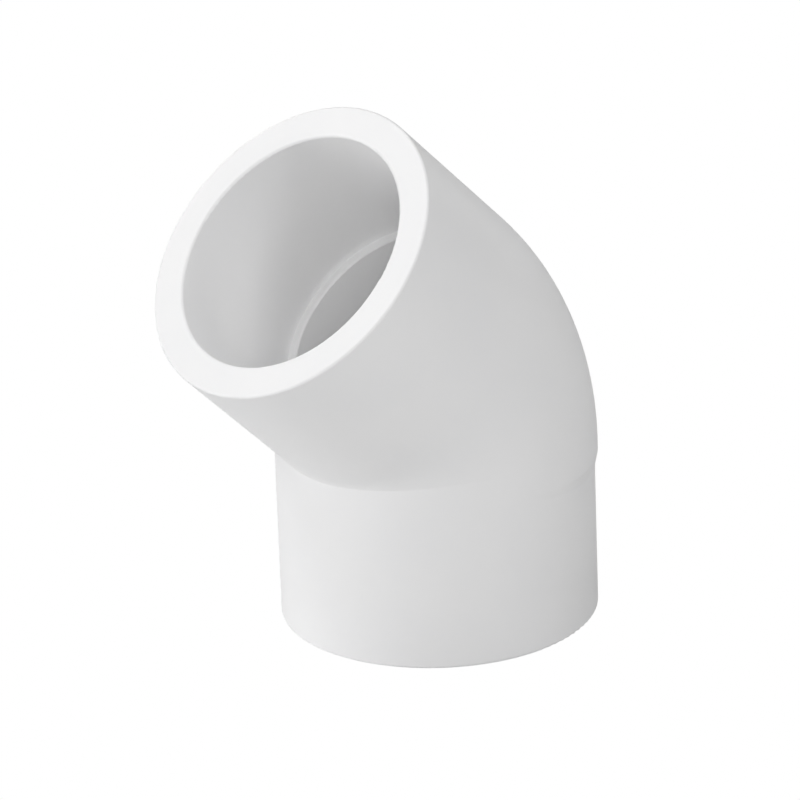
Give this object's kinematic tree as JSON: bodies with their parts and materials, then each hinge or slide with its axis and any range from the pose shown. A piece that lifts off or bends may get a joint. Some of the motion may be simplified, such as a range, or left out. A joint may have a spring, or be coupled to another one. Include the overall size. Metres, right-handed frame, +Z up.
{
  "type": "pipe elbow fitting",
  "caption": "White PVC 45 degree elbow with a solvent-weld socket at each end, for turning a 3/4 inch Schedule 40 irrigation pipe.",
  "frame": {"origin": "centre of the lower hub's open face", "axes": "+Z up the lower hub's axis into the fitting; the upper hub leans 45 degrees from +Z towards -X; the XZ plane is the mirror plane"},
  "size_m": [0.0481, 0.0338, 0.0573],
  "materials": {
    "pvc": "satin as-moulded white PVC"
  },
  "bodies": {
    "root": {"elbow_body": "pvc"}
  },
  "joints": []
}
